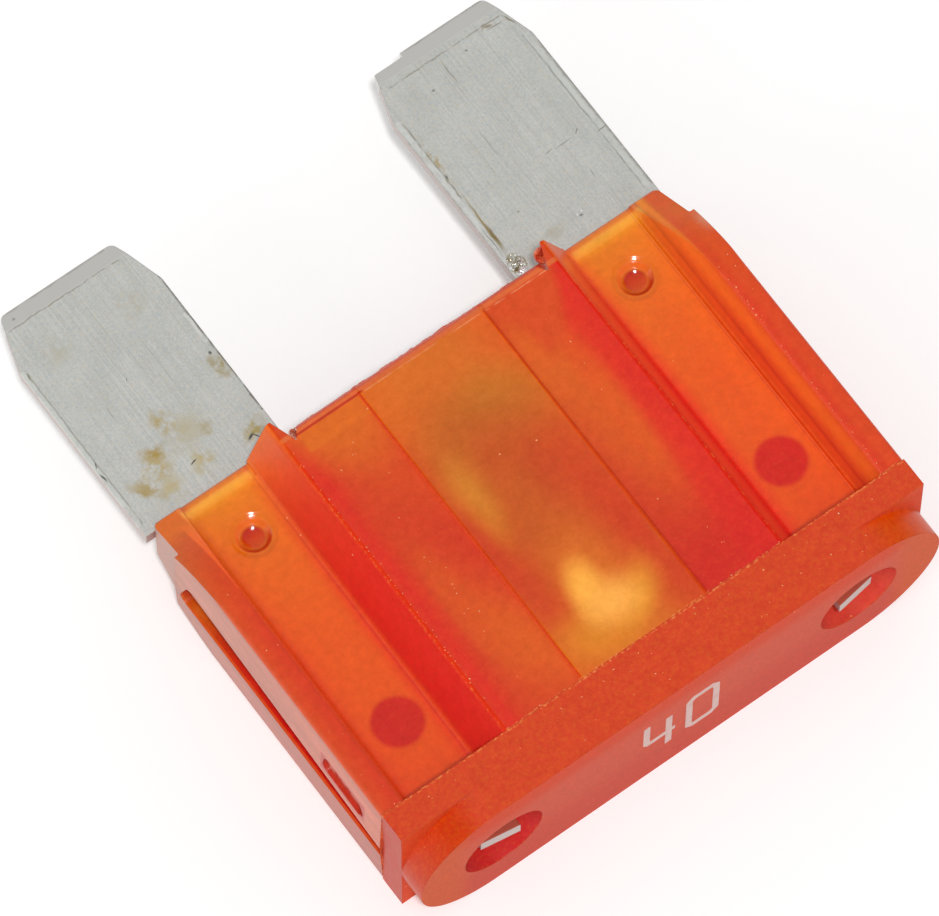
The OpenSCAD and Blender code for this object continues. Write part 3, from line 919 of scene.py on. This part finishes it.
scratches_and_dent_highlights = [
    (-7.85, 22.62, 0.09, 0.30, -60, 0.2, "#4c5660"),
    (-7.62, 22.50, 0.04, 0.34, 30, 0.2, "#4a4c58"),
    (7.00, 24.90, 0.10, 2.40, -2, 0.1, "#a8966a"),
    (7.05, 24.10, 0.14, 1.10, 0, 0.1, "#8f7c4c"),
    (6.80, 24.00, 0.05, 1.30, 0, 0.1, "#9a9c98"),
    (-6.95, 27.10, 0.10, 0.16, 0, 0.2, "#6c6a62"),
    (-10.82, 28.28, 0.03, 0.16, -35, 0.3, "#77766e"),
    (-10.72, 23.12, 0.28, 0.05, 14, 0.3, "#4e4944"),
    (-13.30, 33.80, 0.12, 0.12, 0, 0.0, "#a8a8a0"),
    (-12.40, 27.30, 0.03, 0.70, 0, 0.3, "#b4b4ae"),
    (-14.50, 24.90, 0.06, 0.40, 8, 0.2, "#62665f"),
    (-14.42, 25.60, 0.05, 0.25, -20, 0.2, "#6c7068"),
    (-14.40, 31.00, 0.06, 0.30, 0, 0.2, "#98907c"),
    (7.02, 27.80, 0.05, 0.25, 0, 0.2, "#5f605c"),
    (12.40, 26.05, 0.60, 0.04, 0, 0.3, "#a9a79f"),
    (13.30, 26.20, 0.25, 0.04, 38, 0.3, "#938f87"),
    (11.60, 26.10, 0.30, 0.04, 12, 0.3, "#b2b0a8"),
    (10.27, 32.10, 0.04, 0.95, 0, 0.4, "#afaa9c"),
    (14.30, 25.62, 0.38, 0.05, 4, 0.3, "#98928a"),
    (14.10, 32.60, 0.06, 0.50, 20, 0.3, "#9e9686"),
    (13.40, 32.75, 0.60, 0.05, 0, 0.3, "#aca496"),
    (11.55, 32.50, 0.12, 0.09, 0, 0.1, "#8e8e86"),
    (9.10, 31.75, 0.10, 0.09, -30, 0.1, "#8c8474"),
    # a dent on the right blade: a grey spot of painted shade and two white spots of painted highlight
    (10.95, 22.62, 0.16, 0.08, -20, 0.2, "#8f918c"),
    (11.10, 22.78, 0.07, 0.06, 0, 0.2, "#ffffff"),
    (10.82, 22.74, 0.05, 0.08, 0, 0.2, "#f4f6f4"),
    (8.70, 24.50, 0.10, 0.07, -20, 0.1, "#948c78"),
    (12.60, 24.00, 0.03, 0.40, -6, 0.3, "#aaa9a2"),
    (9.60, 28.00, 0.03, 1.20, 0, 0.3, "#b0afa8"),
]
# the burnished and dirty edges of the blades: lowest and highest x and y, softness, colour
edges = [
    (-14.68, -14.44, 22.0, 31.4, 0.05, "#e2e6df"),
    (-14.80, -14.72, 22.0, 31.6, 0.03, "#9a9b93"),
    (-14.39, -14.34, 22.0, 31.2, 0.03, "#9b9a92"),
    (-6.69, -6.40, 23.4, 31.8, 0.03, "#70685e"),
    (-6.84, -6.70, 27.6, 29.4, 0.05, "#eeeeea"),
    (-13.90, -7.70, 33.35, 33.41, 0.03, "#988e7c"),
    (-13.90, -7.90, 34.20, 34.40, 0.05, "#a8a39b"),
    (6.50, 6.60, 22.0, 31.4, 0.03, "#a2a29b"),
    (6.66, 6.86, 22.0, 31.4, 0.05, "#e8eae6"),
    (6.92, 6.98, 26.5, 31.2, 0.03, "#8b846f"),
    (14.12, 14.17, 22.0, 31.6, 0.03, "#94958d"),
    (14.20, 14.44, 22.0, 31.6, 0.04, "#dfe1db"),
    (14.50, 14.70, 22.0, 31.6, 0.04, "#a5a298"),
    (7.50, 13.90, 33.03, 33.09, 0.03, "#988e7e"),
    (9.20, 14.00, 34.20, 34.40, 0.05, "#a8a39b"),
]
for share, tint in patches(zinc_tree, stain_place, stains):
    metal = layered(zinc_tree, metal, [(all_of(zinc_tree, [share, patchy]), tint)])
for x0, x1, y0, y1, soft, tint in edges:
    in_width = share_between(zinc_tree, edge_x, x0, x1, soft)
    in_length = share_between(zinc_tree, edge_y, y0, y1, soft)
    metal = layered(zinc_tree, metal, [(all_of(zinc_tree, [in_width, in_length, worn]), tint)])
for share, tint in patches(zinc_tree, edge_place, scratches_and_dent_highlights):
    metal = layered(zinc_tree, metal, [(all_of(zinc_tree, [share, on_top]), tint)])
# the rounding of the stamped edges and the depth of the grain, in metres
stamped_edge = 0.00008
grain_relief = 0.00002
zinc_edge = add_node(zinc_tree, "ShaderNodeBevel", {"Radius": stamped_edge}, samples=4).outputs[0]
give_surface(
    zinc_tree,
    {
        "Base Color": metal,
        "Metallic": 0.65,
        "Roughness": rising(zinc_tree, cloud, 0.3, 0.7, 0.46, 0.5),
        "Normal": bumped(zinc_tree, zinc_grain, 0.3, grain_relief, zinc_edge),
    },
)
element.data.materials[0] = rolled_zinc


# The flash along the end of the roof
# Where the two halves of the mould met the core, a thin lip of plastic squeezed out along the end
# of the roof on both faces. It was torn off roughly, and its edge is whitened.

flash_plastic, flash_tree = new_material("torn_polycarbonate_flash")
flash_place = in_millimetres(flash_tree)
flash_x = add_node(flash_tree, "ShaderNodeSeparateXYZ", {0: flash_place}).outputs[0]
whitened = noise_of(flash_tree, flash_place, 0.4, 3.0)
flash_red = graded(flash_tree, whitened, [(0.35, "#c83f22"), (0.55, "#dc5a30"), (0.7, "#f0a888")])
flash_pale = graded(flash_tree, whitened, [(0.3, "#cf5a38"), (0.5, "#e09a80"), (0.65, "#f4d8cc")])
left_of_pad = share_between(flash_tree, flash_x, -9, -3.4, 0.4)
flash_colour = layered(flash_tree, flash_red, [(left_of_pad, flash_pale)])
give_surface(flash_tree, {"Base Color": flash_colour, "Roughness": 0.3, "IOR": polycarbonate_ior})


def new_grower(name, inputs):
    """A tree of geometry nodes with the inputs named, and each input's identifier."""
    made = bpy.data.node_groups.new(name, "GeometryNodeTree")
    for way in ("INPUT", "OUTPUT"):
        made.interface.new_socket("Geometry", in_out=way, socket_type="NodeSocketGeometry")
    identifiers = {}
    for title, kind in inputs:
        socket = made.interface.new_socket(title, in_out="INPUT", socket_type="NodeSocket" + kind)
        identifiers[title] = socket.identifier
    return made, identifiers


def give_geometry(tree, instances, material):
    """Ends a tree of geometry nodes with real geometry of one material."""
    real = add_node(tree, "GeometryNodeRealizeInstances", {"Geometry": instances}).outputs[0]
    coated = add_node(tree, "GeometryNodeSetMaterial", {"Geometry": real, "Material": material}).outputs[0]
    add_node(tree, "NodeGroupOutput", {"Geometry": coated})


flash_nodes, flash_inputs = new_grower(
    "flash_along_a_line", [("Step", "Float"), ("Thickness", "Float"), ("Raggedness", "Float")]
)
given = add_node(flash_nodes, "NodeGroupInput").outputs
as_curve = add_node(flash_nodes, "GeometryNodeMeshToCurve", {"Mesh": given["Geometry"]}).outputs[0]
by_step = {"Curve": as_curve, "Length": given["Step"]}
stepped = add_node(flash_nodes, "GeometryNodeResampleCurve", by_step, mode="LENGTH").outputs[0]
at_point = add_node(flash_nodes, "GeometryNodeInputPosition").outputs[0]
tear_size = 0.0009
tear = to_and_fro(flash_nodes, at_point, tear_size, 4.0, 0.7)
torn = {"Geometry": stepped, "Offset": scaled(flash_nodes, tear, given["Raggedness"])}
torn_line = add_node(flash_nodes, "GeometryNodeSetPosition", torn).outputs[0]
swell = rising(flash_nodes, noise_of(flash_nodes, at_point, tear_size, 4.0, 0.7), 0.35, 0.65, 0.35, 1.3)
circle = {"Resolution": 6, "Radius": given["Thickness"]}
lip_section = add_node(flash_nodes, "GeometryNodeCurvePrimitiveCircle", circle).outputs[0]
lip = {"Curve": torn_line, "Profile Curve": lip_section, "Scale": swell, "Fill Caps": True}
lip_mesh = add_node(flash_nodes, "GeometryNodeCurveToMesh", lip).outputs[0]
give_geometry(flash_nodes, lip_mesh, flash_plastic)


def grown(name, corners, lines, nodes, inputs, values):
    """A plain mesh object, grown by geometry nodes from lines between corners in millimetres."""
    start = bpy.data.meshes.new(name + "_start")
    start.from_pydata([in_metres(*corner) for corner in corners], lines, [])
    made = bpy.data.objects.new(name, start)
    bpy.context.scene.collection.objects.link(made)
    grower = made.modifiers.new(name, "NODES")
    grower.node_group = nodes
    for title, value in values.items():
        grower[inputs[title]] = value
    bpy.context.view_layer.update()
    grown_mesh = bpy.data.meshes.new_from_object(made.evaluated_get(bpy.context.evaluated_depsgraph_get()))
    made.modifiers.remove(grower)
    made.data = grown_mesh
    return made


# one line along the roof's rounded end on each face
flash_corners = []
flash_lines = []
for face in (1, -1):
    row = [(-6.75, 20.60, 3.82), (0.0, 20.64, 3.78), (6.30, 20.62, 3.80)]
    first = len(flash_corners)
    flash_corners += [(px, py, pz * face) for px, py, pz in row]
    flash_lines += [(first + step, first + step + 1) for step in range(len(row) - 1)]
flash = grown(
    "moulding_flash", flash_corners, flash_lines, flash_nodes, flash_inputs,
    {"Step": 0.00009, "Thickness": 0.000055, "Raggedness": 0.00030},
)
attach(flash, "root")


# The crumbs
# Crumbs of plastic, rubbed off by the mould and by handling, sit along the edges of the housing
# and are strewn over it. The largest are a tenth of a millimetre across.

crumb_plastic, crumb_tree = new_material("pale_polycarbonate_dust")
crumb_place = add_node(crumb_tree, "ShaderNodeTexCoord").outputs["Object"]
crumb_noise = noise_of(crumb_tree, crumb_place, 0.0006)
crumb_colour = graded(crumb_tree, crumb_noise, [(0.35, "#e66f34"), (0.5, "#ee9050"), (0.65, "#f4be94")])
give_surface(crumb_tree, {"Base Color": crumb_colour, "Roughness": 0.6})

crumb_settings = [(name, "Float") for name in ("Spacing", "Spread", "Radius", "Share kept")]
crumb_nodes, crumb_inputs = new_grower("crumbs_along_lines", crumb_settings + [("Seed", "Int")])
given = add_node(crumb_nodes, "NodeGroupInput").outputs


def random_of(tree, data_type, levels):
    """The outputs of a random value at each point."""
    return add_node(tree, "FunctionNodeRandomValue", levels, data_type=data_type).outputs


as_curve = add_node(crumb_nodes, "GeometryNodeMeshToCurve", {"Mesh": given["Geometry"]}).outputs[0]
by_spacing = {"Curve": as_curve, "Length": given["Spacing"]}
spots = add_node(crumb_nodes, "GeometryNodeCurveToPoints", by_spacing, mode="LENGTH").outputs[0]
left_out = math_of(crumb_nodes, "SUBTRACT", 1.0, given["Share kept"])
lost = random_of(crumb_nodes, "BOOLEAN", {"Probability": left_out, "Seed": given["Seed"]})[3]
spots = add_node(crumb_nodes, "GeometryNodeDeleteGeometry", {"Geometry": spots, "Selection": lost}).outputs[0]
sideways_only = {0: (-1, -1, 0), 1: (1, 1, 0), "Seed": given["Seed"]}
scatter = random_of(crumb_nodes, "FLOAT_VECTOR", sideways_only)[0]
scattered = {"Geometry": spots, "Offset": scaled(crumb_nodes, scatter, given["Spread"])}
spots = add_node(crumb_nodes, "GeometryNodeSetPosition", scattered).outputs[0]
ball = {"Radius": given["Radius"], "Subdivisions": 1}
crumb = add_node(crumb_nodes, "GeometryNodeMeshIcoSphere", ball).outputs[0]
any_turn = {0: (0, 0, 0), 1: (3, 3, 3), "Seed": given["Seed"]}
turned = random_of(crumb_nodes, "FLOAT_VECTOR", any_turn)[0]
any_size = {0: (0.4, 0.4, 0.3), 1: (1.5, 1.5, 0.9), "Seed": given["Seed"]}
sized = random_of(crumb_nodes, "FLOAT_VECTOR", any_size)[0]
set_down = {"Points": spots, "Instance": crumb, "Rotation": turned, "Scale": sized}
crumbs = add_node(crumb_nodes, "GeometryNodeInstanceOnPoints", set_down).outputs[0]
give_geometry(crumb_nodes, crumbs, crumb_plastic)

# along the seam with the head and the edges of the ribs; then strewn over the faces that look up
crumb_radius = 0.000038
seam_lines = [
    ((-14.3, 3.10, 4.10), (-13.3, 3.10, 4.10)),
    ((-12.6, 3.08, 1.40), (-9.1, 3.08, 1.40)),
    ((-7.7, 3.08, 4.10), (7.7, 3.08, 4.10)),
    ((9.1, 3.08, 1.40), (12.6, 3.08, 1.40)),
    ((13.3, 3.10, 4.10), (14.4, 3.10, 4.10)),
    ((13.5, 3.5, 4.10), (13.5, 16.0, 4.10)),
    ((-7.6, 4.0, 4.10), (-7.6, 19.5, 4.10)),
]
strewn_lines = [
    ((-13.9, 4.0, 4.10), (-13.9, 15.8, 4.10)),
    ((14.0, 4.0, 4.10), (14.0, 15.8, 4.10)),
    ((-12.5, 2.2, 4.25), (12.5, 2.2, 4.25)),
    ((-11.0, 0.9, 4.25), (11.0, 0.9, 4.25)),
    ((-5.5, 4.5, 4.10), (-5.5, 19.5, 4.10)),
    ((5.5, 4.5, 4.10), (5.5, 19.5, 4.10)),
]
for name, lines, spacing, spread, kept, seed in (
    ("seam_crumbs", seam_lines, 0.00016, 0.00006, 0.40, 4),
    ("strewn_crumbs", strewn_lines, 0.0002, 0.00042, 0.22, 9),
):
    crumb_corners = [corner for line in lines for corner in line]
    crumb_lines = [(2 * index, 2 * index + 1) for index in range(len(lines))]
    crumbs_made = grown(
        name, crumb_corners, crumb_lines, crumb_nodes, crumb_inputs,
        {"Spacing": spacing, "Spread": spread, "Radius": crumb_radius, "Share kept": kept, "Seed": seed},
    )
    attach(crumbs_made, "root")


# The burr and the curls
# Where the right blade enters the housing its inner edge was crushed, and bright metal stands up
# there. The thin tooth of plastic above it and the roof's left corner were crumpled too.

metal_top = 0.4
patch_rows = 26
patch_skirt = 0.1
# the noise that sways the patches starts from the clock unless it has a seed
sway_seed = 4
noise.seed_set(sway_seed)

# painted highlights: the palest, white spots of the torn zinc stand for the light it catches; the golden
# brown and grey are its own colour
torn_zinc_and_highlights, burr_tree = new_material("torn_zinc_with_painted_highlights")
burr_place = add_node(burr_tree, "ShaderNodeTexCoord").outputs["Object"]
burr_noise = noise_of(burr_tree, burr_place, 0.0004, 3.0)
burr_colour = graded(
    burr_tree, burr_noise, [(0.36, "#8c7a4e"), (0.46, "#c8c4b4"), (0.56, "#e8ebea"), (0.7, "#ffffff")]
)
give_surface(burr_tree, {"Base Color": burr_colour, "Metallic": 0.6, "Roughness": 0.28})


def crumpled(name, centre, half, base, rise, seed, material):
    """A closed, crumpled patch on a flat place: centre, half sizes, base and height in millimetres."""
    made = bmesh.new()
    grid = []
    for row in range(patch_rows + 1):
        for column in range(patch_rows + 1):
            u, v = 2 * row / patch_rows - 1, 2 * column / patch_rows - 1
            u, v = u * (1 - v * v / 2) ** 0.5, v * (1 - u * u / 2) ** 0.5
            bow = max(0.0, 1 - u * u - v * v)
            crumple = noise.fractal(Vector((u * 2.9 + seed, v * 3.3, 1.7)), 1.0, 2.0, 4)
            lift = max(base + bow * (0.35 + 1.3 * crumple) * rise, base + 0.012)
            sway = noise.noise_vector(Vector((u * 3, v * 3, seed))) * 0.09 * bow
            at = Vector((centre[0] + u * half[0], centre[1] + v * half[1], lift)) + sway
            grid.append(made.verts.new(in_metres(*at)))
    for row in range(patch_rows):
        for column in range(patch_rows):
            corner = row * (patch_rows + 1) + column
            made.faces.new([grid[corner + step] for step in (0, patch_rows + 1, patch_rows + 2, 1)])
    rim = [edge for edge in made.edges if edge.is_boundary]
    for vert in bmesh.ops.extrude_edge_only(made, edges=rim)["geom"]:
        if isinstance(vert, bmesh.types.BMVert):
            vert.co.z = (mid_height + base - patch_skirt) / per_metre
    bmesh.ops.contextual_create(made, geom=[edge for edge in made.edges if edge.is_boundary])
    return mesh_object(name, made, material)


burr = crumpled("blade_burr", (7.08, 22.40), (0.44, 0.60), metal_top, 0.26, 3.0, torn_zinc_and_highlights)
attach(burr, "root")
curl = crumpled("tooth_curl", (7.50, 21.00), (0.42, 0.42), 3.50, 0.55, 7.0, flash_plastic)
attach(curl, "root")
corner = crumpled("roof_corner_curl", (-6.93, 20.50), (0.20, 0.24), 3.62, 0.34, 5.0, flash_plastic)
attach(corner, "root")


# The scene is brought up to date
bpy.context.view_layer.update()
